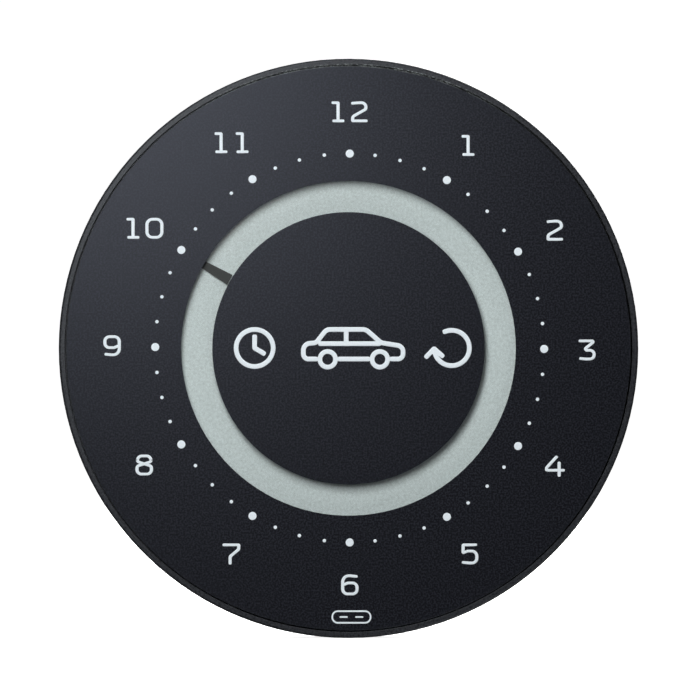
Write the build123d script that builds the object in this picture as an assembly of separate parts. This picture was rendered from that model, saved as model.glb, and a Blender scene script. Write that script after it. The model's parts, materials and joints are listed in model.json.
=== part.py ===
"""Electronic parking disc: a round in-car parking clock that sticks to the inside of a windscreen.

Frame: the dial looks along -Y, 12 o'clock is +Z and +X is 3 o'clock. The origin is the centre of the
dial's front face, the plane y = 0, and everything lies behind it. Outlines are drawn as seen from the
front, and each slab runs between two depths along +Y.
"""

import math
import os

from build123d import *

os.makedirs("parts", exist_ok=True)

# Case
CASE_R = 50.0
CASE_DEPTH = 13.0
SPLIT_Y = 10.2  # the front housing ends and the rear cover begins
RIM_INNER_R = 48.93
CAVITY_R = 47.8
LEDGE_R = 45.0
LEDGE_BACK_Y = 3.0
FRONT_EDGE_ROUND = 0.4
BACK_EDGE_ROUND = 1.6
SPLIT_CHAMFER = 0.25

# Dial and lens
DIAL_THICK = 0.3
DIAL_OUTER_R = 48.7
WINDOW_OUTER_R = 28.86
WINDOW_INNER_R = 23.5
DIAL_EDGE_ROUND = 0.07
LENS_R = 48.77
LENS_BACK_Y = 1.3
TAPE_INNER_R = 45.4
TAPE_OUTER_R = 48.3
LEDGE_Y = 1.4

# Display: a glass cell behind the ring window, with a contact shelf along its lower edge
GLASS_HALF = 30.0
GLASS_SHELF = 2.5
POLARIZER_HALF = 29.0
REFLECTOR_HALF = 29.5
POLARIZER_Y = 1.42
FRONT_GLASS_Y = 1.6
CRYSTAL_Y = 2.0
REAR_GLASS_Y = 2.05
REAR_GLASS_BACK_Y = 2.45
FRAME_SEAT_Y = 2.65
FILM_GLUE = 0.02  # the glue line between a film and its glass
CRYSTAL_COATING = 0.01  # the coating on each glass that faces the liquid crystal
GASKET_WIDTH = 0.9
SEAL_INSET = 0.15
SEAL_WIDTH = 0.7
GLASS_GAP = 0.15
FRAME_HALF = 33.2
FRAME_CORNER_R = 6.5
FRAME_FRONT_Y = 1.7
STRIP_LENGTH = 50.0
STRIP_WIDTH = 1.7
STRIP_Z = -GLASS_HALF - GLASS_SHELF / 2

# Pointer: one dark segment at 10 o'clock, wider towards the dial's centre
POINTER_ANGLE = 150.0
POINTER_INNER_R = 23.66
POINTER_OUTER_R = 29.1
POINTER_INNER_WIDTH = 1.95
POINTER_OUTER_WIDTH = 1.32

# Circuit board
BOARD_R = 47.2
BOARD_Y = 4.7
BOARD_BACK_Y = 5.7

# Fasteners: four screws close the case, four hold the board and clamp the display
CASE_SCREW_ANGLES = [0, 90, 180, 270]
CASE_SCREW_RING_R = 44.9
BOSS_R = 3.1
BOSS_TOP_Y = 9.1
BOSS_FRONT_Y = 1.7
BOARD_SCREW_ANGLES = [30, 150, 210, 330]
BOARD_SCREW_RING_R = 44.6
POST_R = 2.4

# Battery: a CR2450 coin cell under a quick-turn door with three lugs in rising channels
CELL_R = 12.25
CELL_CAP_R = 11.2
CELL_FRONT_Y = 6.1
CELL_BACK_Y = 11.1
COVER_INSIDE_Y = 11.4
WELL_BORE_R = 14.4
WELL_OUTER_R = 19.6
WELL_FRONT_Y = 8.6
DOOR_SEAT_R = 18.2
DOOR_SEAT_Y = 11.6
DOOR_R = 18.0
DOOR_FRONT_Y = 11.7
PLUG_R = 14.2
PLUG_BORE_R = 12.7
PLUG_FRONT_Y = 9.4
PLUG_ROOF_Y = 11.3
LUG_R = 15.5
LUG_ANGLES = [30, 150, 270]
LUG_WIDTH = 20.0
LUG_HEIGHT = 0.8
CHANNEL_R = 15.8
CHANNEL_FRONT_Y = 9.2
CHANNEL_BACK_Y = 11.75
CHANNEL_CLEARANCE = 0.15
DOOR_TURN = 60.0
DOOR_LIFT = 2.6
SEAL_RING_R = 17.0
SEAL_CORD_R = 0.35

# Buttons and their switches
BUTTON_X = 9.0
BUTTON_Z = -31.0
BUTTON_R = 3.0
BUTTON_HOLE_R = 3.15
BUTTON_DISH_R = 4.4
BUTTON_BACK_Y = 12.8
FLANGE_R = 3.9
FLANGE_FRONT_Y = 10.7
FLANGE_BACK_Y = 11.3
STEM_R = 1.5
PLUNGER_R = 1.75
PLUNGER_BORE_R = 1.85
PLUNGER_FRONT_Y = 7.4
PLUNGER_BACK_Y = 9.3
SWITCH_SIZE = 6.0
SWITCH_BACK_Y = 8.8


def plane_at(y):
    """The plane at depth y, drawn on as seen from the front: its x is +X and its y is +Z."""
    return Plane(origin=(0, y, 0), x_dir=(1, 0, 0), z_dir=(0, -1, 0))


def slab(outline, front, back):
    return extrude(plane_at(back) * outline, amount=back - front)


def disc(radius, front, back, x=0.0, z=0.0):
    return slab(Pos(x, z) * Circle(radius), front, back)


def ring(inner, outer, front, back, x=0.0, z=0.0):
    return slab(Pos(x, z) * (Circle(outer) - Circle(inner)), front, back)


def block(width, height, front, back, x=0.0, z=0.0):
    return slab(Pos(x, z) * Rectangle(width, height), front, back)


def square_frame(inner_half, outer_half, front, back):
    outline = Rectangle(2 * outer_half, 2 * outer_half) - Rectangle(2 * inner_half, 2 * inner_half)
    return slab(outline, front, back)


def on_circle(radius, angles):
    """Points on a circle. Angles are in degrees from +X towards +Z."""
    return [(radius * math.cos(math.radians(a)), radius * math.sin(math.radians(a))) for a in angles]


def ring_sector(inner, outer, middle, width):
    start = middle - width / 2
    outer_arc = CenterArc((0, 0), outer, start, width)
    inner_arc = CenterArc((0, 0), inner, start, width)
    sides = [Line(inner_arc @ 0, outer_arc @ 0), Line(inner_arc @ 1, outer_arc @ 1)]
    return make_face([outer_arc, inner_arc, *sides])


def circle_edges(part, radius, y):
    """The round edges of one radius at one depth."""
    found = []
    for edge in part.edges().filter_by(GeomType.CIRCLE):
        if abs(edge.radius - radius) < 0.01 and abs(edge.arc_center.Y - y) < 0.01:
            found.append(edge)
    return found


def save(node, solids):
    shape = Compound(children=solids) if isinstance(solids, list) else solids
    export_step(shape, f"parts/{node}.step")


def front_housing():
    shell = disc(CASE_R, 0, SPLIT_Y)
    shell -= disc(RIM_INNER_R, 0, LEDGE_Y)
    shell -= disc(LEDGE_R, LEDGE_Y, LEDGE_BACK_Y)
    shell -= disc(CAVITY_R, LEDGE_BACK_Y, SPLIT_Y)
    shell = fillet(circle_edges(shell, CASE_R, 0), FRONT_EDGE_ROUND)
    shell = fillet(circle_edges(shell, RIM_INNER_R, 0), DIAL_EDGE_ROUND)
    shell = chamfer(circle_edges(shell, CASE_R, SPLIT_Y), SPLIT_CHAMFER)
    for x, z in on_circle(CASE_SCREW_RING_R, CASE_SCREW_ANGLES):
        shell += disc(BOSS_R, BOSS_FRONT_Y, BOSS_TOP_Y, x, z)
        shell -= disc(0.92, 4.6, BOSS_TOP_Y, x, z)
    for x, z in on_circle(BOARD_SCREW_RING_R, BOARD_SCREW_ANGLES):
        shell += disc(POST_R, BOSS_FRONT_Y, BOARD_Y, x, z)
        shell -= disc(0.72, 2.3, BOARD_Y, x, z)
    return shell


def door_channel(middle):
    """The rising channel of one door lug: a ring sector that turns as it rises, open at the door seat."""
    rise = DOOR_LIFT / math.radians(DOOR_TURN)
    band = LUG_HEIGHT + rise * math.radians(LUG_WIDTH) + 2 * CHANNEL_CLEARANCE
    width = math.degrees(band / rise)
    lug_centre_y = PLUG_FRONT_Y + LUG_HEIGHT / 2
    start = math.degrees((CHANNEL_FRONT_Y - lug_centre_y) / rise)
    height = CHANNEL_BACK_Y - CHANNEL_FRONT_Y
    # A positive turn about +Y carries +X towards -Z, so it lowers the angle of a point on the outline.
    sector = ring_sector(WELL_BORE_R - 0.5, CHANNEL_R, middle - start, width)
    section = (plane_at(CHANNEL_FRONT_Y) * sector).face()
    turn = math.degrees(height / rise)
    return Solid.extrude_linear_with_rotation(section, (0, CHANNEL_FRONT_Y, 0), (0, height, 0), turn)


def rear_cover():
    cover = disc(CASE_R, SPLIT_Y, CASE_DEPTH)
    cover = fillet(circle_edges(cover, CASE_R, CASE_DEPTH), BACK_EDGE_ROUND)
    cover = chamfer(circle_edges(cover, CASE_R, SPLIT_Y), SPLIT_CHAMFER)
    cover -= disc(46.0, SPLIT_Y, COVER_INSIDE_Y)
    cover += ring(46.0, 47.6, 9.2, SPLIT_Y)
    for x, z in on_circle(CASE_SCREW_RING_R, CASE_SCREW_ANGLES):
        cover += disc(3.0, BOSS_TOP_Y, COVER_INSIDE_Y, x, z) & disc(47.6, BOSS_TOP_Y, COVER_INSIDE_Y)
        cover -= disc(1.1, BOSS_TOP_Y, CASE_DEPTH, x, z)
        cover -= disc(2.1, 11.7, CASE_DEPTH, x, z)
    cover += ring(WELL_BORE_R, WELL_OUTER_R, WELL_FRONT_Y, COVER_INSIDE_Y)
    cover -= disc(WELL_BORE_R, WELL_FRONT_Y, CASE_DEPTH)
    cover -= disc(DOOR_SEAT_R, DOOR_SEAT_Y, CASE_DEPTH)
    for middle in LUG_ANGLES:
        cover -= door_channel(middle)
    for x in (-BUTTON_X, BUTTON_X):
        cover -= disc(BUTTON_HOLE_R, COVER_INSIDE_Y, CASE_DEPTH, x, BUTTON_Z)
        cover -= disc(BUTTON_DISH_R, 12.7, CASE_DEPTH, x, BUTTON_Z)
    return cover


def dial_ring():
    dial = ring(WINDOW_OUTER_R, DIAL_OUTER_R, 0, DIAL_THICK)
    return fillet(circle_edges(dial, DIAL_OUTER_R, 0), DIAL_EDGE_ROUND)


def centre_disc():
    return disc(WINDOW_INNER_R, 0, DIAL_THICK)


def lens_plate():
    lens = disc(LENS_R, DIAL_THICK, LENS_BACK_Y)
    return chamfer(circle_edges(lens, LENS_R, DIAL_THICK), DIAL_EDGE_ROUND)


def glass_with_shelf(front, back):
    height = 2 * GLASS_HALF + GLASS_SHELF
    return block(2 * GLASS_HALF, height, front, back, z=-GLASS_SHELF / 2)


def pointer_segment():
    inner = POINTER_INNER_WIDTH / 2
    outer = POINTER_OUTER_WIDTH / 2
    corners = [
        (POINTER_INNER_R, -inner),
        (POINTER_OUTER_R, -outer),
        (POINTER_OUTER_R, outer),
        (POINTER_INNER_R, inner),
    ]
    outline = Rot(Z=POINTER_ANGLE) * make_face(Polyline(*corners, close=True))
    return slab(outline, CRYSTAL_Y + CRYSTAL_COATING, REAR_GLASS_Y - CRYSTAL_COATING)


def display_frame():
    outline = RectangleRounded(2 * FRAME_HALF, 2 * FRAME_HALF, FRAME_CORNER_R)
    frame = slab(outline, FRAME_FRONT_Y, BOARD_Y)
    pocket_width = 2 * (GLASS_HALF + GLASS_GAP)
    pocket_height = pocket_width + GLASS_SHELF
    frame -= block(pocket_width, pocket_height, FRAME_FRONT_Y, FRAME_SEAT_Y, z=-GLASS_SHELF / 2)
    frame -= block(STRIP_LENGTH + 0.4, STRIP_WIDTH + 0.3, FRAME_SEAT_Y, BOARD_Y, z=STRIP_Z)
    return frame


def main_board():
    outline = Circle(BOARD_R)
    for x, z in on_circle(CASE_SCREW_RING_R, CASE_SCREW_ANGLES):
        outline -= Pos(x, z) * Circle(BOSS_R + 0.3)
    for x, z in on_circle(BOARD_SCREW_RING_R, BOARD_SCREW_ANGLES):
        outline -= Pos(x, z) * Circle(0.9)
    return slab(outline, BOARD_Y, BOARD_BACK_Y)


def screw(x, z, head_r, head_front, head_back, shank_r, tip):
    """One round-headed screw with a cross recess, its tip towards the dial."""
    body = disc(head_r, head_front, head_back, x, z)
    body = fillet(circle_edges(body, head_r, head_back), 0.35)
    body += disc(shank_r, tip, head_front, x, z)
    recess_front = head_back - 0.6
    body -= block(1.5 * head_r, 0.45, recess_front, head_back, x, z)
    body -= block(0.45, 1.5 * head_r, recess_front, head_back, x, z)
    return body


def case_screws():
    places = on_circle(CASE_SCREW_RING_R, CASE_SCREW_ANGLES)
    return [screw(x, z, 1.9, 11.7, 12.8, 0.9, 5.0) for x, z in places]


def board_screws():
    places = on_circle(BOARD_SCREW_RING_R, BOARD_SCREW_ANGLES)
    return [screw(x, z, 1.6, BOARD_BACK_Y, 6.7, 0.7, 2.5) for x, z in places]


def battery_cell():
    can = disc(CELL_R, CELL_FRONT_Y + 0.35, CELL_BACK_Y)
    can = fillet(circle_edges(can, CELL_R, CELL_BACK_Y), 0.5)
    return can + disc(CELL_CAP_R, CELL_FRONT_Y, CELL_FRONT_Y + 0.35)


def battery_holder():
    outline = Circle(13.9) - Circle(12.45) - ring_sector(12.0, 14.5, 0, 32)
    return slab(outline, BOARD_BACK_Y, 8.3)


def positive_contact():
    foot = block(4.0, 5.0, BOARD_BACK_Y, 5.9, x=14.3)
    return foot + block(0.3, 5.0, BOARD_BACK_Y, 8.3, x=12.45)


def negative_contact():
    return block(14.0, 4.0, BOARD_BACK_Y, 5.9) + disc(2.0, 5.9, CELL_FRONT_Y)


def battery_door():
    door = disc(DOOR_R, DOOR_FRONT_Y, CASE_DEPTH)
    door = fillet(circle_edges(door, DOOR_R, CASE_DEPTH), 0.3)
    door += disc(PLUG_R, PLUG_FRONT_Y, DOOR_FRONT_Y)
    for middle in LUG_ANGLES:
        lug = ring_sector(PLUG_R - 0.2, LUG_R, middle, LUG_WIDTH)
        door += slab(lug, PLUG_FRONT_Y, PLUG_FRONT_Y + LUG_HEIGHT)
    door -= disc(PLUG_BORE_R, PLUG_FRONT_Y, PLUG_ROOF_Y)
    door -= ring(SEAL_RING_R - 0.5, SEAL_RING_R + 0.5, DOOR_FRONT_Y, 12.35)
    door -= slab(SlotOverall(17.0, 2.2), 12.1, CASE_DEPTH)
    return door


def door_seal():
    return Pos(0, DOOR_SEAT_Y + SEAL_CORD_R + 0.02, 0) * Rot(X=90) * Torus(SEAL_RING_R, SEAL_CORD_R)


def button(x):
    cap = disc(BUTTON_R, FLANGE_BACK_Y, BUTTON_BACK_Y, x, BUTTON_Z)
    cap = fillet(circle_edges(cap, BUTTON_R, BUTTON_BACK_Y), 0.35)
    cap += disc(FLANGE_R, FLANGE_FRONT_Y, FLANGE_BACK_Y, x, BUTTON_Z)
    return cap + disc(STEM_R, PLUNGER_BACK_Y, FLANGE_FRONT_Y, x, BUTTON_Z)


def switch_body(x):
    body = block(SWITCH_SIZE, SWITCH_SIZE, BOARD_BACK_Y, SWITCH_BACK_Y, x, BUTTON_Z)
    return body - disc(PLUNGER_BORE_R, 6.9, SWITCH_BACK_Y, x, BUTTON_Z)


def switch_plunger(x):
    return disc(PLUNGER_R, PLUNGER_FRONT_Y, PLUNGER_BACK_Y, x, BUTTON_Z)


def buzzer():
    return disc(6.0, BOARD_BACK_Y, 8.7, z=30.0) - disc(0.9, 8.0, 8.7, z=30.0)


def clock_crystal():
    return Pos(-24.0, BOARD_BACK_Y + 1.0, -8.0) * Rot(Y=90) * Cylinder(1.0, 6.0)


def chips(places, width, height, thick):
    """A row of small board-mounted components, one solid each."""
    return [block(width, height, BOARD_BACK_Y, BOARD_BACK_Y + thick, x, z) for x, z in places]


save("front_housing", front_housing())
save("rear_cover", rear_cover())
save("dial_ring", dial_ring())
save("centre_disc", centre_disc())
save("lens_plate", lens_plate())
save("lens_tape", ring(TAPE_INNER_R, TAPE_OUTER_R, LENS_BACK_Y, LEDGE_Y))
gasket_outer = GLASS_HALF - 0.05
save("display_gasket", square_frame(gasket_outer - GASKET_WIDTH, gasket_outer, LENS_BACK_Y, FRONT_GLASS_Y))
polarizer_back = FRONT_GLASS_Y - FILM_GLUE
save("lcd_front_polarizer", block(2 * POLARIZER_HALF, 2 * POLARIZER_HALF, POLARIZER_Y, polarizer_back))
save("lcd_front_glass", glass_with_shelf(FRONT_GLASS_Y, CRYSTAL_Y))
seal_outer = GLASS_HALF - SEAL_INSET
save("lcd_edge_seal", square_frame(seal_outer - SEAL_WIDTH, seal_outer, CRYSTAL_Y, REAR_GLASS_Y))
save("lcd_pointer_segment", pointer_segment())
save("lcd_rear_glass", block(2 * GLASS_HALF, 2 * GLASS_HALF, REAR_GLASS_Y, REAR_GLASS_BACK_Y))
reflector_front = REAR_GLASS_BACK_Y + FILM_GLUE
save("lcd_reflector", block(2 * REFLECTOR_HALF, 2 * REFLECTOR_HALF, reflector_front, FRAME_SEAT_Y))
save("display_frame", display_frame())
save("display_connector", block(STRIP_LENGTH, STRIP_WIDTH, CRYSTAL_Y, BOARD_Y, z=STRIP_Z))
save("main_board", main_board())
save("microcontroller", chips([(-26.0, 8.0)], 7.0, 7.0, 1.0)[0])
save("motion_sensor", chips([(26.0, 10.0)], 3.0, 3.0, 0.9)[0])
save("clock_crystal", clock_crystal())
save("capacitors", chips([(-26.0 + 3.0 * step, 15.5) for step in range(5)], 0.9, 1.7, 0.8))
save("resistors", chips([(22.0 + 2.5 * step, 3.0) for step in range(6)], 0.9, 1.7, 0.5))
save("buzzer", buzzer())
save("battery_holder", battery_holder())
save("positive_contact", positive_contact())
save("negative_contact", negative_contact())
save("battery_cell", battery_cell())
save("battery_door", battery_door())
save("door_seal", door_seal())
for name, x in (("set", -BUTTON_X), ("mode", BUTTON_X)):
    save(f"{name}_button", button(x))
    save(f"{name}_switch_body", switch_body(x))
    save(f"{name}_switch_plunger", switch_plunger(x))
save("case_screws", case_screws())
save("board_screws", board_screws())
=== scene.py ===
"""The looks of an electronic parking disc: materials, dial print, moulded marks, lights and camera.

Everything is in metres in the part's own frame. The dial looks along -Y, +Z is 12 o'clock and +X is
3 o'clock. The dial's front face is the plane y = 0 and the case lies behind it.
"""

import json
import math

import bmesh
import bpy
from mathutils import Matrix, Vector

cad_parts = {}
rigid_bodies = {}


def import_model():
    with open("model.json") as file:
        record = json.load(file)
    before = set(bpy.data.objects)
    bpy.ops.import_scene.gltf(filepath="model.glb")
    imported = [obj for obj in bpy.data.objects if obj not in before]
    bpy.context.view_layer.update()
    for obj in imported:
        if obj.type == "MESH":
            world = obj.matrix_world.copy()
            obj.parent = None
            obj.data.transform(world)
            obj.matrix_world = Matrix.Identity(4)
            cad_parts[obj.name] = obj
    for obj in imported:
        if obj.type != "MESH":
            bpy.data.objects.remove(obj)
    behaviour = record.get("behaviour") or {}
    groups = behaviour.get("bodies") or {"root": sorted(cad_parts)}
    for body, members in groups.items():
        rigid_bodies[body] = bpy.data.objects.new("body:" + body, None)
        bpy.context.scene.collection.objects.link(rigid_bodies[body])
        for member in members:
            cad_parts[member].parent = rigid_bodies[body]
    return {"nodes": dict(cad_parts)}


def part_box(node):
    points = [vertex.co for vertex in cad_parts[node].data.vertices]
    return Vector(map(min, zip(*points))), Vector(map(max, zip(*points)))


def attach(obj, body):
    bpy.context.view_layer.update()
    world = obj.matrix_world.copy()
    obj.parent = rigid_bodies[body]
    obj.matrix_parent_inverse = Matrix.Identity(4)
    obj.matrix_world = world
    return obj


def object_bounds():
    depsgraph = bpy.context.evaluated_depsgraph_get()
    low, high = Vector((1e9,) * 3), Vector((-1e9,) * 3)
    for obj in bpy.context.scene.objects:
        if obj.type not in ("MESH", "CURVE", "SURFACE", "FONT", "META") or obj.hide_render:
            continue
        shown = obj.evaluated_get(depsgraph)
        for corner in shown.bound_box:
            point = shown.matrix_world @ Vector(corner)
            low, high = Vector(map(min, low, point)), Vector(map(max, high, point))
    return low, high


for leftover in list(bpy.data.objects):
    bpy.data.objects.remove(leftover)

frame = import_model()
cad_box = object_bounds()
nodes = frame["nodes"]

MM = 0.001
# The housing's rim starts at this radius, just outside the foil.
RIM_INNER_R = 48.93 * MM


# Materials ----------------------------------------------------------------------------------------


class Look:
    """One procedural material: a Principled shader, and a few helpers that feed it."""

    def __init__(self, name, roughness=0.5, **fixed):
        self.material = bpy.data.materials.new(name)
        self.material.use_nodes = True
        self.tree = self.material.node_tree
        self.shader = self.tree.nodes["Principled BSDF"]
        self.shader.inputs["Roughness"].default_value = roughness
        for socket, value in fixed.items():
            self.shader.inputs[socket.replace("_", " ")].default_value = value
        self.place = self.add("ShaderNodeTexCoord").outputs["Object"]

    def add(self, kind, **settings):
        node = self.tree.nodes.new(kind)
        for key, value in settings.items():
            setattr(node, key, value)
        return node

    def link(self, source, target):
        self.tree.links.new(source, target)

    def noise(self, grain, detail=3.0, rough=0.55):
        """Noise whose features are about grain metres across, from 0 to 1."""
        node = self.add("ShaderNodeTexNoise")
        node.inputs["Scale"].default_value = 1.0 / grain
        node.inputs["Detail"].default_value = detail
        node.inputs["Roughness"].default_value = rough
        self.link(self.place, node.inputs["Vector"])
        return node.outputs["Fac"]

    def heights(self):
        """How high each point is, along +Z."""
        apart = self.add("ShaderNodeSeparateXYZ")
        self.link(self.place, apart.inputs["Vector"])
        return apart.outputs["Z"]

    def axis_distance(self):
        """How far each point is from the case's axis."""
        flat = self.add("ShaderNodeVectorMath", operation="MULTIPLY")
        flat.inputs[1].default_value = (1.0, 0.0, 1.0)
        self.link(self.place, flat.inputs[0])
        length = self.add("ShaderNodeVectorMath", operation="LENGTH")
        self.link(flat.outputs["Vector"], length.inputs[0])
        return length.outputs["Value"]

    def along(self, x, z):
        """How far each point is along the direction (x, z)."""
        node = self.add("ShaderNodeVectorMath", operation="DOT_PRODUCT")
        node.inputs[1].default_value = (x, 0.0, z)
        self.link(self.place, node.inputs[0])
        return node.outputs["Value"]

    def ramp(self, value, low, high, start=0.3, end=0.7):
        """Maps value from start..end to the colours or numbers low..high."""
        node = self.add("ShaderNodeMapRange")
        node.inputs["From Min"].default_value = start
        node.inputs["From Max"].default_value = end
        node.inputs["To Min"].default_value = low
        node.inputs["To Max"].default_value = high
        self.link(value, node.inputs["Value"])
        return node.outputs["Result"]

    def blend(self, factor, first, second):
        """Mixes two colours, each a colour or another node's output."""
        node = self.add("ShaderNodeMix", data_type="RGBA")
        sockets = [s for s in node.inputs if s.type == "RGBA"]
        for socket, colour in zip(sockets, (first, second)):
            if isinstance(colour, tuple):
                socket.default_value = (*colour, 1.0)
            else:
                self.link(colour, socket)
        self.link(factor, node.inputs["Factor"])
        return next(s for s in node.outputs if s.type == "RGBA")

    def maths(self, operation, first, second):
        node = self.add("ShaderNodeMath", operation=operation)
        for socket, value in zip(node.inputs, (first, second)):
            if isinstance(value, (int, float)):
                socket.default_value = value
            else:
                self.link(value, socket)
        return node.outputs["Value"]

    def colour(self, source):
        self.link(source, self.shader.inputs["Base Color"])

    def roughness(self, source):
        self.link(source, self.shader.inputs["Roughness"])

    def bump(self, height, depth):
        node = self.add("ShaderNodeBump")
        node.inputs["Strength"].default_value = 1.0
        node.inputs["Distance"].default_value = depth
        self.link(height, node.inputs["Height"])
        self.link(node.outputs["Normal"], self.shader.inputs["Normal"])

    def alpha(self, source):
        self.link(source, self.shader.inputs["Alpha"])


def eroded_plastic(name, dark, light, grain, depth, roughness, sheen_level, lip_r=None):
    """Moulded plastic with a spark-eroded texture, paler on its peaks, and with lip_r a painted shade in the
    gap by the rim and a painted glint along the rim's top edge.
    """
    look = Look(name, roughness, Specular_IOR_Level=sheen_level, Specular_Tint=(0.88, 0.94, 1.0, 1.0))
    texture = look.noise(grain, detail=2.0, rough=0.6)
    clouds = look.noise(9 * MM, detail=2.0)
    shade = look.blend(look.ramp(texture, 0.0, 1.0, 0.32, 0.72), dark, light)
    shade = look.blend(look.ramp(clouds, 0.0, 0.25), shade, dark)
    if lip_r:
        # Painted shade darkens the gap between rim and dial, on the upper right.
        gap_shade = look.ramp(look.axis_distance(), 1.0, 0.0, lip_r + 0.02 * MM, lip_r + 0.1 * MM)
        right = look.ramp(look.along(0.87, 0.5), 0.0, 1.0, -0.2 * lip_r, 0.6 * lip_r)
        shade = look.blend(look.maths("MULTIPLY", gap_shade, right), shade, (0.001, 0.001, 0.001))
        # Painted glint: pale specks along the rim's inner edge, strongest at the top, stand in for light
        # caught there.
        lip = look.ramp(look.axis_distance(), 1.0, 0.0, lip_r + 0.08 * MM, lip_r + 0.18 * MM)
        specks = look.ramp(look.noise(0.42 * MM, detail=1.0), 0.0, 1.0, 0.48, 0.62)
        lit_from_above = look.ramp(look.heights(), 0.0, 1.0, 0.8 * lip_r, 0.98 * lip_r)
        painted_lip_glint = look.maths("MULTIPLY", lip, look.maths("MULTIPLY", specks, lit_from_above))
        shade = look.blend(painted_lip_glint, shade, (0.26, 0.29, 0.29))
    look.colour(shade)
    look.roughness(look.ramp(texture, roughness - 0.03, roughness + 0.05))
    look.bump(texture, depth)
    return look.material


def grained(name, dark, light, grain, roughness, depth=0.0, sheen_level=0.5):
    """A plain procedural material: two close colours, a grain, and a matching roughness."""
    look = Look(name, roughness, Specular_IOR_Level=sheen_level)
    texture = look.noise(grain)
    look.colour(look.blend(look.ramp(texture, 0.0, 1.0), dark, light))
    look.roughness(look.ramp(texture, roughness - 0.06, roughness + 0.06))
    if depth:
        look.bump(texture, depth)
    return look.material


def dial_foil(outer_r):
    """Matt black printed foil: a dim satin sheen, fine pale specks, and a painted highlight along the cut
    film's edge.
    """
    look = Look("dial_foil", 0.27, Specular_IOR_Level=0.11, Specular_Tint=(0.78, 0.84, 1.0, 1.0))
    specks = look.noise(0.32 * MM, detail=1.0, rough=0.5)
    speckled = look.ramp(specks, 0.0, 1.0, 0.3, 0.74)
    shade = look.blend(speckled, (0.0026, 0.0029, 0.0040), (0.0158, 0.0169, 0.0226))
    # Painted highlight: a pale line along the foil's cut edge, broken up by noise and strongest at the top,
    # stands in for light caught there.
    cut = look.ramp(look.axis_distance(), 0.0, 1.0, outer_r - 0.12 * MM, outer_r - 0.04 * MM)
    highlight_breakup = look.ramp(look.noise(3 * MM, detail=4.0), 0.15, 0.9, 0.35, 0.6)
    lit_from_above = look.ramp(look.heights(), 0.1, 1.0, 0.8 * outer_r, 0.98 * outer_r)
    edge = look.maths("MULTIPLY", cut, look.maths("MULTIPLY", highlight_breakup, lit_from_above))
    look.colour(look.blend(edge, shade, (0.17, 0.19, 0.19)))
    look.roughness(look.ramp(specks, 0.25, 0.29))
    look.bump(specks, 0.0012 * MM)
    return look.material


def dial_ink():
    """White screen-printed ink, a little thinner in places."""
    look = Look("dial_ink", 0.5, Specular_IOR_Level=0.1)
    cover = look.noise(0.25 * MM, detail=2.0)
    look.colour(look.blend(look.ramp(cover, 0.0, 1.0), (0.69, 0.755, 0.80), (0.77, 0.835, 0.88)))
    look.roughness(look.ramp(cover, 0.42, 0.58))
    look.bump(cover, 0.004 * MM)
    return look.material


def clear(name, colour, alpha_face, alpha_edge, roughness):
    """Clear plastic or glass: nearly unseen face on, and more visible at a glancing angle."""
    look = Look(name, roughness)
    haze = look.noise(4 * MM, detail=2.0)
    facing = look.add("ShaderNodeLayerWeight").outputs["Facing"]
    glancing = look.maths("POWER", facing, 3.0)
    look.colour(look.blend(look.ramp(haze, 0.0, 1.0), colour, tuple(0.93 * c for c in colour)))
    look.roughness(look.ramp(haze, roughness, roughness + 0.03))
    look.alpha(look.ramp(glancing, alpha_face, alpha_edge, 0.0, 1.0))
    return look.material


def reflector_film():
    """The display's transflective film: pale grey-green, with the fine grain of its pigment."""
    look = Look("reflector_film", 0.6)
    grain = look.noise(0.40 * MM, detail=1.5, rough=0.6)
    mottle = look.noise(2.5 * MM, detail=2.0)
    shade = look.blend(look.ramp(grain, 0.0, 1.0, 0.3, 0.7), (0.385, 0.448, 0.443), (0.52, 0.603, 0.597))
    look.colour(look.blend(look.ramp(mottle, 0.0, 0.15), shade, (0.452, 0.525, 0.519)))
    look.roughness(look.ramp(grain, 0.52, 0.68))
    look.bump(grain, 0.004 * MM)
    return look.material


def striped_rubber():
    """The display connector: fine dark and pale stripes across its length."""
    look = Look("connector_rubber", 0.7)
    apart = look.add("ShaderNodeSeparateXYZ")
    look.link(look.place, apart.inputs["Vector"])
    stripes = look.maths("PINGPONG", apart.outputs["X"], 0.05 * MM)
    carbon = look.ramp(stripes, 0.0, 1.0, 0.02 * MM, 0.03 * MM)
    look.colour(look.blend(carbon, (0.03, 0.03, 0.03), (0.5, 0.5, 0.52)))
    look.bump(look.noise(0.1 * MM), 0.01 * MM)
    return look.material


def board_laminate():
    """Green solder mask over copper tracks, which show as slightly paler raised lines."""
    look = Look("board_laminate", 0.35, Coat_Weight=0.3)
    tracks = look.add("ShaderNodeTexBrick")
    tracks.inputs["Scale"].default_value = 1.0
    tracks.inputs["Brick Width"].default_value = 7 * MM
    tracks.inputs["Row Height"].default_value = 1.2 * MM
    tracks.inputs["Mortar Size"].default_value = 0.15 * MM
    turned = look.add("ShaderNodeMapping")
    turned.inputs["Rotation"].default_value = (math.radians(90), 0, 0)
    look.link(look.place, turned.inputs["Vector"])
    look.link(turned.outputs["Vector"], tracks.inputs["Vector"])
    look.colour(look.blend(tracks.outputs["Fac"], (0.012, 0.085, 0.03), (0.03, 0.17, 0.06)))
    look.roughness(look.ramp(look.noise(3 * MM), 0.3, 0.42))
    look.bump(tracks.outputs["Fac"], 0.02 * MM)
    return look.material


def bright_metal(name, dark, light, roughness):
    """Bright metal with fine scuffs and a faint brushed grain."""
    look = Look(name, roughness, Metallic=1.0)
    scuffs = look.noise(0.6 * MM, detail=5.0, rough=0.7)
    look.colour(look.blend(look.ramp(scuffs, 0.0, 1.0), dark, light))
    look.roughness(look.ramp(scuffs, roughness - 0.08, roughness + 0.12))
    look.bump(look.noise(0.12 * MM, detail=2.0), 0.002 * MM)
    return look.material


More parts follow.
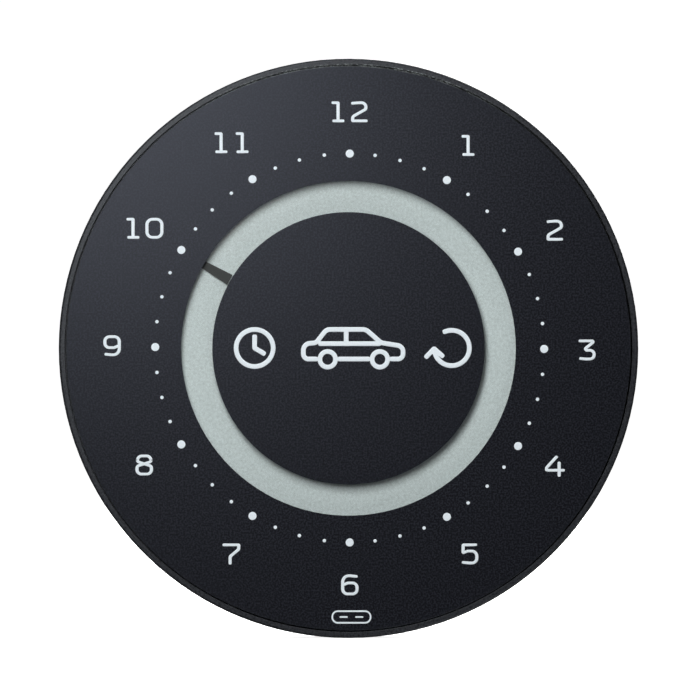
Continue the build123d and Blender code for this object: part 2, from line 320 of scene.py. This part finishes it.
def finish_cad_nodes():
    foil_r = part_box("dial_ring")[1][0]
    black = ((0.008, 0.0086, 0.0104), (0.043, 0.0450, 0.0515))
    grey = ((0.012, 0.0123, 0.0135), (0.032, 0.0328, 0.0355))
    case = eroded_plastic("case_satin", *black, 0.38 * MM, 0.005 * MM, 0.28, 0.12, RIM_INNER_R)
    cover = eroded_plastic("cover_satin", *black, 0.26 * MM, 0.012 * MM, 0.42, 0.4)
    door = eroded_plastic("door_satin", *grey, 0.22 * MM, 0.010 * MM, 0.36, 0.4)
    foil = dial_foil(foil_r)
    foam = grained("gasket_foam", (0.012, 0.012, 0.012), (0.03, 0.03, 0.03), 0.3 * MM, 0.9, 0.05 * MM)
    glass = clear("display_glass", (0.80, 0.90, 0.86), 0.003, 0.3, 0.05)
    chip = grained("chip_plastic", (0.012, 0.012, 0.012), (0.028, 0.028, 0.03), 0.2 * MM, 0.55, 0.01 * MM)
    dark_button, light_button = (0.045, 0.047, 0.05), (0.062, 0.064, 0.068)
    button = grained("button_plastic", dark_button, light_button, 0.3 * MM, 0.42, 0.006 * MM)
    switch = grained("switch_plastic", (0.02, 0.02, 0.02), (0.035, 0.035, 0.035), 0.3 * MM, 0.5, 0.01 * MM)
    plunger = grained("plunger_plastic", (0.55, 0.52, 0.42), (0.66, 0.63, 0.54), 0.4 * MM, 0.45, 0.01 * MM)
    contact = bright_metal("contact_metal", (0.62, 0.56, 0.42), (0.78, 0.72, 0.58), 0.3)
    screw = bright_metal("screw_steel", (0.16, 0.16, 0.17), (0.30, 0.30, 0.31), 0.38)
    looks = {
        "front_housing": case,
        "rear_cover": cover,
        "battery_door": door,
        "dial_ring": foil,
        "centre_disc": foil,
        "lens_plate": clear("lens_plastic", (0.90, 0.94, 0.93), 0.004, 0.4, 0.08),
        "lens_tape": foam,
        "display_gasket": foam,
        "lcd_front_polarizer": clear("polarizer_film", (0.46, 0.52, 0.51), 0.026, 0.3, 0.2),
        "lcd_front_glass": glass,
        "lcd_rear_glass": glass,
        "lcd_edge_seal": grained("edge_seal", (0.6, 0.6, 0.55), (0.72, 0.72, 0.66), 0.3 * MM, 0.5),
        "lcd_pointer_segment": grained(
            "liquid_crystal", (0.004, 0.005, 0.005), (0.008, 0.009, 0.009), 0.2 * MM, 0.6, sheen_level=0.08
        ),
        "lcd_reflector": reflector_film(),
        "display_frame": grained(
            "frame_plastic", (0.6, 0.61, 0.6), (0.72, 0.73, 0.72), 0.4 * MM, 0.5, 0.01 * MM
        ),
        "display_connector": striped_rubber(),
        "main_board": board_laminate(),
        "microcontroller": chip,
        "motion_sensor": chip,
        "clock_crystal": bright_metal("crystal_can", (0.6, 0.6, 0.6), (0.78, 0.78, 0.78), 0.28),
        "capacitors": grained(
            "ceramic_chip", (0.36, 0.25, 0.15), (0.5, 0.37, 0.24), 0.3 * MM, 0.5, 0.01 * MM
        ),
        "resistors": grained("resistor_chip", (0.015, 0.015, 0.018), (0.05, 0.05, 0.055), 0.4 * MM, 0.4),
        "buzzer": grained(
            "buzzer_plastic", (0.012, 0.012, 0.012), (0.024, 0.024, 0.024), 0.4 * MM, 0.5, 0.01 * MM
        ),
        "battery_holder": grained(
            "holder_plastic", (0.05, 0.05, 0.055), (0.08, 0.08, 0.085), 0.4 * MM, 0.5, 0.01 * MM
        ),
        "positive_contact": contact,
        "negative_contact": contact,
        "battery_cell": bright_metal("cell_metal", (0.62, 0.62, 0.61), (0.8, 0.8, 0.79), 0.25),
        "door_seal": grained(
            "seal_rubber", (0.008, 0.008, 0.008), (0.02, 0.02, 0.02), 0.3 * MM, 0.5, 0.005 * MM
        ),
        "set_button": button,
        "mode_button": button,
        "set_switch_body": switch,
        "mode_switch_body": switch,
        "set_switch_plunger": plunger,
        "mode_switch_plunger": plunger,
        "case_screws": screw,
        "board_screws": screw,
    }
    assert set(looks) == set(nodes), set(looks) ^ set(nodes)
    for node, material in looks.items():
        nodes[node].data.materials.clear()
        nodes[node].data.materials.append(material)
    # Clear sheets let light through to what lies behind them.
    for node in ("lens_plate", "lcd_front_polarizer", "lcd_front_glass", "lcd_rear_glass"):
        nodes[node].visible_shadow = False
        nodes[node].visible_diffuse = False
    return cover, door


# Strokes ------------------------------------------------------------------------------------------

# A stroke is a list of corners (x, z) or (x, z, radius), with a flag that says whether it is closed. It is
# drawn as a low rounded bead of ink or plastic, with blunt ends.

# The last ring of a bead's end keeps this share of its width, so that no face collapses.
TIP_SHARE = 0.02


def corner_arc(before, corner, after, radius, steps=10):
    """The points of the arc that rounds one corner."""
    inward, outward = (before - corner).normalized(), (after - corner).normalized()
    half = inward.angle(outward) / 2
    reach = radius / math.tan(half)
    start, end = corner + inward * reach, corner + outward * reach
    centre = corner + (inward + outward).normalized() * (radius / math.sin(half))
    first, last = start - centre, end - centre
    turn = first.angle_signed(last)
    points = []
    for step in range(steps + 1):
        angle = -turn * step / steps
        rotated = Vector((
            first.x * math.cos(angle) - first.y * math.sin(angle),
            first.x * math.sin(angle) + first.y * math.cos(angle),
        ))
        points.append(centre + rotated)
    return points


def stroke_points(corners, closed):
    places = [Vector(c[:2]) for c in corners]
    radii = [c[2] if len(c) > 2 else 0.0 for c in corners]
    points = []
    for i, (place, radius) in enumerate(zip(places, radii)):
        inner = closed or 0 < i < len(places) - 1
        if inner and radius:
            points += corner_arc(places[i - 1], place, places[(i + 1) % len(places)], radius)
        else:
            points.append(place)
    return points


def round_ends(points, half_width, steps=6):
    """Points with a radius share each, with a blunt rounded end added at both ends."""
    def cap(end, beside):
        outward = (end - beside).normalized()
        turns = [math.radians(90 * step / steps) for step in range(1, steps + 1)]
        return [(end + outward * half_width * math.sin(a), max(math.cos(a) ** 0.5, TIP_SHARE)) for a in turns]

    head = cap(points[0], points[1])
    tail = cap(points[-1], points[-2])
    return head[::-1] + [(p, 1.0) for p in points] + tail


def bead_mesh(name, strokes, half_width, height, nib=1.0):
    """Beads along strokes in the XZ plane, as one mesh that stands height proud of y = 0 on both sides.

    The pen's nib is nib times as wide along X as along Z.
    """
    curve = bpy.data.curves.new(name + "_path", "CURVE")
    curve.dimensions = "3D"
    curve.bevel_depth = half_width
    curve.bevel_resolution = 3
    curve.use_fill_caps = True
    for corners, closed in strokes:
        points = stroke_points(corners, closed)
        beads = [(p, 1.0) for p in points] if closed else round_ends(points, half_width)
        spline = curve.splines.new("POLY")
        spline.points.add(len(beads) - 1)
        spline.use_cyclic_u = closed
        for point, (place, share) in zip(spline.points, beads):
            point.co = (place.x / nib, 0.0, place.y, 1.0)
            point.radius = share
    holder = bpy.data.objects.new(name + "_holder", curve)
    bpy.context.scene.collection.objects.link(holder)
    bpy.context.view_layer.update()
    evaluated = holder.evaluated_get(bpy.context.evaluated_depsgraph_get())
    mesh = bpy.data.meshes.new_from_object(evaluated)
    bpy.data.objects.remove(holder)
    for vertex in mesh.vertices:
        vertex.co.x *= nib
        vertex.co.y *= height / half_width
    mesh.name = name
    return mesh


def add_dot(mesh_builder, x, z, radius, height, sides=28, rings=4):
    """A low round dome of ink about (x, z), facing -Y, with its foot just under the surface."""
    profile = [math.radians(90 * ring / rings) for ring in range(rings + 1)]
    loops = []
    for angle in profile[:-1]:
        reach, rise = radius * math.cos(angle), -height * math.sin(angle)
        loop = []
        for side in range(sides):
            turn = 2 * math.pi * side / sides
            place = (x + reach * math.cos(turn), rise, z + reach * math.sin(turn))
            loop.append(mesh_builder.verts.new(place))
        loops.append(loop)
    top = mesh_builder.verts.new((x, -height, z))
    foot = [mesh_builder.verts.new((v.co.x, height, v.co.z)) for v in loops[0]]
    for low, high in zip([foot] + loops[:-1], loops):
        for side in range(sides):
            following = (side + 1) % sides
            mesh_builder.faces.new((low[side], low[following], high[following], high[side]))
    for side in range(sides):
        mesh_builder.faces.new((loops[-1][side], loops[-1][(side + 1) % sides], top))
    mesh_builder.faces.new(foot[::-1])


def finish_piece(name, mesh, material, body, surface_y=0.0):
    for polygon in mesh.polygons:
        polygon.use_smooth = True
    piece = bpy.data.objects.new(name, mesh)
    piece.location.y = surface_y
    bpy.context.scene.collection.objects.link(piece)
    mesh.materials.clear()
    mesh.materials.append(material)
    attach(piece, body)
    return piece


# Pictograms ---------------------------------------------------------------------------------------

# Strokes in millimetres about each pictogram's middle.


def arc(radius, start, sweep, x=0.0, z=0.0, steps=40):
    """Points along an arc, from start degrees (from +X towards +Z) through sweep degrees."""
    turns = [math.radians(start + sweep * step / steps) for step in range(steps + 1)]
    return [(x + radius * math.cos(t), z + radius * math.sin(t)) for t in turns]


def circle(radius, x=0.0, z=0.0):
    return arc(radius, 0, 351, x, z, 39), True


CAR = [
    ([(-6.5, -1.9), (-8.6, -1.9, 0.9), (-8.6, 0.7, 1.2), (-6.4, 0.9, 1.0), (-4.6, 3.2, 1.3), (2.2, 3.2, 1.6),
      (4.8, 0.9, 1.4), (8.6, 0.3, 1.1), (8.6, -1.9, 0.9), (6.7, -1.9)], False),
    ([(-2.3, -1.9), (2.5, -1.9)], False),
    ([(-5.6, 0.75), (4.4, 0.75)], False),
    ([(-1.2, 3.1), (-1.2, 0.85)], False),
    circle(1.35, -4.4, -1.95),
    circle(1.35, 4.6, -1.95),
]
CLOCK = [circle(3.2), ([(0.0, 1.9), (0.0, 0.0, 0.2), (1.5, -0.9)], False)]
TURN_ARROW = [(arc(3.05, 112, -285), False), ([(-4.3, -1.45), (-3.05, -0.1, 0.15), (-1.7, -1.3)], False)]
LOZENGE = [([(-3.3, -1.0, 0.95), (3.3, -1.0, 0.95), (3.3, 1.0, 0.95), (-3.3, 1.0, 0.95)], True),
           ([(-1.9, 0.0), (-0.8, 0.0)], False), ([(0.8, 0.0), (1.9, 0.0)], False)]
SHUT_LOCK = [([(-1.4, -1.9, 0.4), (1.4, -1.9, 0.4), (1.4, 0.2, 0.4), (-1.4, 0.2, 0.4)], True),
             ([(-0.85, 0.2), (-0.85, 1.9, 0.85), (0.85, 1.9, 0.85), (0.85, 0.2)], False)]
OPEN_LOCK = [SHUT_LOCK[0], ([(-0.85, 0.2), (-0.85, 2.3, 0.85), (0.85, 2.3, 0.85), (0.85, 1.4)], False)]
PICTOGRAM_ROW = ((CLOCK, -16.4 * MM), (CAR, 0.6 * MM), (TURN_ARROW, 17.6 * MM))
LOWER_MARK_PLACE = (0.3 * MM, -46.4 * MM)
PICTOGRAM_STROKE = 0.86 * MM
FINE_STROKE = 0.3 * MM
MOULDED_STROKE = 0.5 * MM
MOULDED_HEIGHT = 0.12 * MM
# The two padlocks stand this far from the axis, and the door turns from the shut one to the open one.
LOCK_R = 22.6 * MM
DOOR_TURN = math.radians(60)
BUTTON_MARK_Z = -22.6 * MM
BUTTON_MARK_SCALE = 0.62
# The door's own marks are drawn as they lie in X and Z, so they aren't mirrored.
DOOR_ARROW = [(arc(14.2, 62, -42), False), ([(14.6, 6.4), (13.35, 4.9, 0.2), (11.9, 6.1)], False)]
DOOR_INDEX = [([(0, 16.6), (0, 14.4)], False)]


def mould_marks(cover, door):
    """Raised marks on the back: which way the battery door turns, and what each button is for."""
    back_y = cad_box[1].y
    marks = moved(SHUT_LOCK, MM, (0, LOCK_R), mirrored=True)
    open_place = (LOCK_R * math.sin(DOOR_TURN), LOCK_R * math.cos(DOOR_TURN))
    marks += moved(OPEN_LOCK, MM, open_place, mirrored=True)
    for button, icon in (("set_button", CLOCK), ("mode_button", TURN_ARROW)):
        low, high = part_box(button)
        mark_place = ((low[0] + high[0]) / 2, BUTTON_MARK_Z)
        marks += moved(icon, BUTTON_MARK_SCALE * MM, mark_place, mirrored=True)
    mesh = bead_mesh("cover_marks", marks, MOULDED_STROKE / 2, MOULDED_HEIGHT)
    finish_piece("cover_marks", mesh, cover, "case", back_y)
    marks = moved(DOOR_ARROW + DOOR_INDEX, MM, (0, 0))
    mesh = bead_mesh("door_marks", marks, MOULDED_STROKE / 2, MOULDED_HEIGHT)
    finish_piece("door_marks", mesh, door, "battery_door", back_y)


# Dial print ---------------------------------------------------------------------------------------

# Glyph strokes are drawn on a grid 18.2 units tall, along the middle of the stroke. The third number is
# the corner's radius.
GRID = 18.2
NUMERAL_HEIGHT = 3.13 * MM
NUMERAL_STROKE = 0.5 * MM
# Upright strokes are this many times as thick as level ones.
NIB = 1.15
SIX = [(13.4, 17.6), (8.0, 18.2, 8.0), (0.0, 18.2, 6.0), (0.0, 0.0, 5.0), (14.4, 0.0, 4.6),
       (14.4, 11.0, 4.6), (5.0, 11.0, 2.5), (0.2, 8.8)]
GLYPHS = {
    "0": [([(0.0, 0.0, 5.6), (15.0, 0.0, 5.6), (15.0, 18.2, 5.6), (0.0, 18.2, 5.6)], True)],
    "1": [([(0.9, 18.2), (6.0, 18.2, 0.5), (6.0, 0.0)], False), ([(1.7, 0.0), (10.8, 0.0)], False)],
    "2": [([(0.0, 17.7), (6.5, 18.2, 8.0), (13.3, 18.2, 4.4), (13.3, 11.8, 2.8), (0.0, 4.3, 3.4),
            (0.0, 0.0, 0.6), (13.5, 0.0)], False)],
    "3": [([(0.0, 18.2), (12.9, 18.2, 0.9), (12.7, 16.6, 0.9), (5.0, 10.4, 0.9), (6.4, 8.8, 0.9),
            (14.1, 8.8, 4.2), (14.1, 0.0, 4.4), (6.0, 0.0, 8.0), (0.6, 0.5)], False)],
    "4": [([(9.8, 18.2), (0.0, 7.6, 1.6), (0.0, 5.0, 0.7), (16.8, 5.0)], False),
          ([(12.6, 12.2), (12.6, 0.0)], False)],
    "5": [([(12.4, 18.2), (0.0, 18.2, 0.7), (0.0, 10.2, 0.5), (4.4, 12.0, 2.0), (13.7, 12.0, 5.2),
            (13.7, 0.0, 4.8), (6.0, 0.0, 8.0), (0.2, 0.6)], False)],
    "6": [(SIX, False)],
    "7": [([(0.0, 18.2), (14.9, 18.2, 0.7), (14.9, 13.8, 3.4), (6.2, 6.6, 3.4), (6.2, 0.0)], False)],
    "8": [([(0.4, 18.2, 4.6), (14.0, 18.2, 4.6), (14.0, 12.5, 2.2), (0.0, 8.0, 2.6), (0.0, 0.0, 4.4),
            (14.4, 0.0, 4.4), (14.4, 8.0, 2.6), (0.4, 12.5, 2.2)], True)],
    "9": [([(14.4 - c[0], GRID - c[1], *c[2:]) for c in SIX], False)],
}
# The second digit of 10, 11 and 12 starts this far right of the first.
SECOND_DIGIT = {"0": 19.9, "1": 21.2, "2": 20.6}
# The foil was printed a little off the case's centre.
PRINT_OFFSET = (0.21 * MM, 0.05 * MM)
# How far each numeral sits off its place on the ring, in millimetres to the right and up.
NUDGES = {1: (-0.06, -0.50), 2: (-0.06, -0.15), 3: (0.03, -0.34), 4: (-0.04, 0.08), 5: (0.28, -0.08),
          6: (0.03, 0.07), 7: (0.05, -0.08), 8: (0.0, 0.28), 9: (-0.06, 0.39), 10: (0.12, 0.19),
          11: (0.08, -0.03), 12: (-0.03, -0.18)}
NUMERAL_RING = 40.93 * MM
DOT_RING = 33.54 * MM
# The ring of dots was printed slightly askew.
DOT_SKEW = 0.005
HOUR_DOT_R = 0.70 * MM
QUARTER_DOT_R = 0.30 * MM
INK_HEIGHT = 0.012 * MM


def clock_place(hour, radius):
    turn = math.radians(30 * hour)
    return Vector((radius * math.sin(turn), radius * math.cos(turn)))


def moved(strokes, scale, offset, mirrored=False):
    """Strokes scaled and moved, and mirrored from left to right for a face that is seen from behind."""
    out = []
    across = -scale if mirrored else scale
    for corners, closed in strokes:
        placed = []
        for corner in corners:
            x, z = corner[0] * across + offset[0], corner[1] * scale + offset[1]
            placed.append((x, z, *(radius * scale for radius in corner[2:])))
        out.append((placed, closed))
    return out


def numeral_strokes(hour):
    text = str(hour)
    strokes = list(GLYPHS[text[0]])
    if len(text) > 1:
        strokes += moved(GLYPHS[text[1]], 1.0, Vector((SECOND_DIGIT[text[1]], 0.0)))
    across = [corner[0] for corners, _ in strokes for corner in corners]
    scale = NUMERAL_HEIGHT / GRID
    middle = Vector(((min(across) + max(across)) / 2, GRID / 2)) * scale
    nudge = Vector(NUDGES[hour]) * MM
    return moved(strokes, scale, clock_place(hour, NUMERAL_RING) + nudge - middle)


def dial_dots(name, radius, quarters, material):
    builder = bmesh.new()
    for hour in range(12):
        for quarter in quarters:
            place = clock_place(hour + quarter / 4, DOT_RING)
            place.y -= DOT_SKEW * place.x
            add_dot(builder, place.x, place.y, radius, INK_HEIGHT)
    mesh = bpy.data.meshes.new(name)
    builder.to_mesh(mesh)
    builder.free()
    print_piece(name, mesh, material)


def print_piece(name, mesh, ink):
    piece = finish_piece(name, mesh, ink, "case")
    piece.location.x, piece.location.z = PRINT_OFFSET


def print_strokes(name, strokes, width, ink, nib=1.0):
    print_piece(name, bead_mesh(name, strokes, width / 2, INK_HEIGHT, nib), ink)


def print_dial():
    """All the white ink on the foil: numerals, dots, the row of pictograms and the mark below the 6."""
    ink = dial_ink()
    numerals = [stroke for hour in range(1, 13) for stroke in numeral_strokes(hour)]
    print_strokes("hour_numerals", numerals, NUMERAL_STROKE, ink, NIB)
    pictograms = []
    for drawing, across in PICTOGRAM_ROW:
        pictograms += moved(drawing, MM, (across, 0))
    print_strokes("centre_pictograms", pictograms, PICTOGRAM_STROKE, ink)
    print_strokes("lower_mark", moved(LOZENGE, MM, LOWER_MARK_PLACE), FINE_STROKE, ink)
    dial_dots("hour_dots", HOUR_DOT_R, [0], ink)
    dial_dots("quarter_dots", QUARTER_DOT_R, [1, 2, 3], ink)


# Scene --------------------------------------------------------------------------------------------

VIEW_DISTANCE = 1.6
VIEW_WIDTH = 120.75 * MM
VIEW_OFFSET = (0.26 * MM, -0.29 * MM)


def area_light(name, place, size, power):
    """A soft white light that faces the middle of the dial and isn't seen itself."""
    data = bpy.data.lights.new(name, "AREA")
    data.shape = "RECTANGLE"
    data.size, data.size_y = size
    data.energy = power
    light = bpy.data.objects.new(name, data)
    light.location = place
    light.rotation_euler = (-Vector(place)).to_track_quat("-Z", "Y").to_euler()
    light.visible_camera = False
    bpy.context.scene.collection.objects.link(light)


def backdrop(floor_z):
    """A round pale floor that sweeps up into a pale wall on every side."""
    flat, bend, top, sides = 2.6, 0.7, 3.6, 72
    profile = [(flat, 0.0)]
    for step in range(1, 13):
        angle = math.radians(90 * step / 12)
        profile.append((flat + bend * math.sin(angle), bend * (1 - math.cos(angle))))
    profile.append((flat + bend, top))
    builder = bmesh.new()
    loops = []
    for reach, rise in profile:
        turns = [2 * math.pi * side / sides for side in range(sides)]
        places = [(reach * math.cos(t), reach * math.sin(t), floor_z + rise) for t in turns]
        loops.append([builder.verts.new(place) for place in places])
    builder.faces.new(loops[0])
    for low, high in zip(loops, loops[1:]):
        for side in range(sides):
            following = (side + 1) % sides
            face = builder.faces.new((low[side], low[following], high[following], high[side]))
            face.smooth = True
    mesh = bpy.data.meshes.new("studio_sweep")
    builder.to_mesh(mesh)
    builder.free()
    look = Look("studio_white", 0.8)
    look.colour(look.blend(look.ramp(look.noise(0.3), 0.0, 1.0), (0.90, 0.90, 0.90), (0.93, 0.93, 0.93)))
    look.shader.inputs["Emission Color"].default_value = (1.0, 1.0, 1.0, 1.0)
    look.shader.inputs["Emission Strength"].default_value = 0.85
    mesh.materials.append(look.material)
    sweep = bpy.data.objects.new("studio_sweep", mesh)
    # The lights and the sky alone light the object, so the pale floor doesn't grey the dial.
    sweep.visible_diffuse = False
    sweep.visible_glossy = False
    bpy.context.scene.collection.objects.link(sweep)


def sky(level, zenith):
    """A dim room: an even level all round and below, brighter overhead."""
    world = bpy.data.worlds.new("studio_world")
    world.use_nodes = True
    tree = world.node_tree
    place = tree.nodes.new("ShaderNodeTexCoord")
    apart = tree.nodes.new("ShaderNodeSeparateXYZ")
    height = tree.nodes.new("ShaderNodeMapRange")
    height.inputs["From Min"].default_value = 0.1
    height.inputs["From Max"].default_value = 0.9
    height.inputs["To Min"].default_value = level
    height.inputs["To Max"].default_value = zenith
    tree.links.new(place.outputs["Generated"], apart.inputs["Vector"])
    tree.links.new(apart.outputs["Z"], height.inputs["Value"])
    tree.links.new(height.outputs["Result"], tree.nodes["Background"].inputs["Strength"])
    bpy.context.scene.world = world


def studio(floor_z):
    """A near key light above the dial's left, a fill below its right, and broad light above and behind."""
    backdrop(floor_z)
    area_light("key", (-0.060, -0.347, 0.128), (0.115, 0.235), 1.30)
    area_light("front_fill", (0.28, -0.62, -0.56), (0.5, 0.5), 4.2)
    area_light("overhead", (0.0, 0.0, 2.2), (2.6, 2.6), 40.0)
    area_light("rear_fill", (0.35, 1.00, 0.45), (0.8, 0.8), 22.0)
    sky(0.40, 1.2)
    bpy.context.scene.view_settings.view_transform = "Standard"


def camera():
    """A long lens, square to the dial, that sees VIEW_WIDTH across at the dial's face."""
    data = bpy.data.cameras.new("camera")
    data.sensor_width = 36.0
    data.lens = data.sensor_width * VIEW_DISTANCE / VIEW_WIDTH
    data.clip_end = 20.0
    view = bpy.data.objects.new("camera", data)
    view.location = (VIEW_OFFSET[0], -VIEW_DISTANCE, VIEW_OFFSET[1])
    view.rotation_euler = (math.radians(90), 0, 0)
    bpy.context.scene.collection.objects.link(view)
    bpy.context.scene.camera = view


cover_plastic, door_plastic = finish_cad_nodes()
print_dial()
mould_marks(cover_plastic, door_plastic)
studio(cad_box[0].z)
camera()
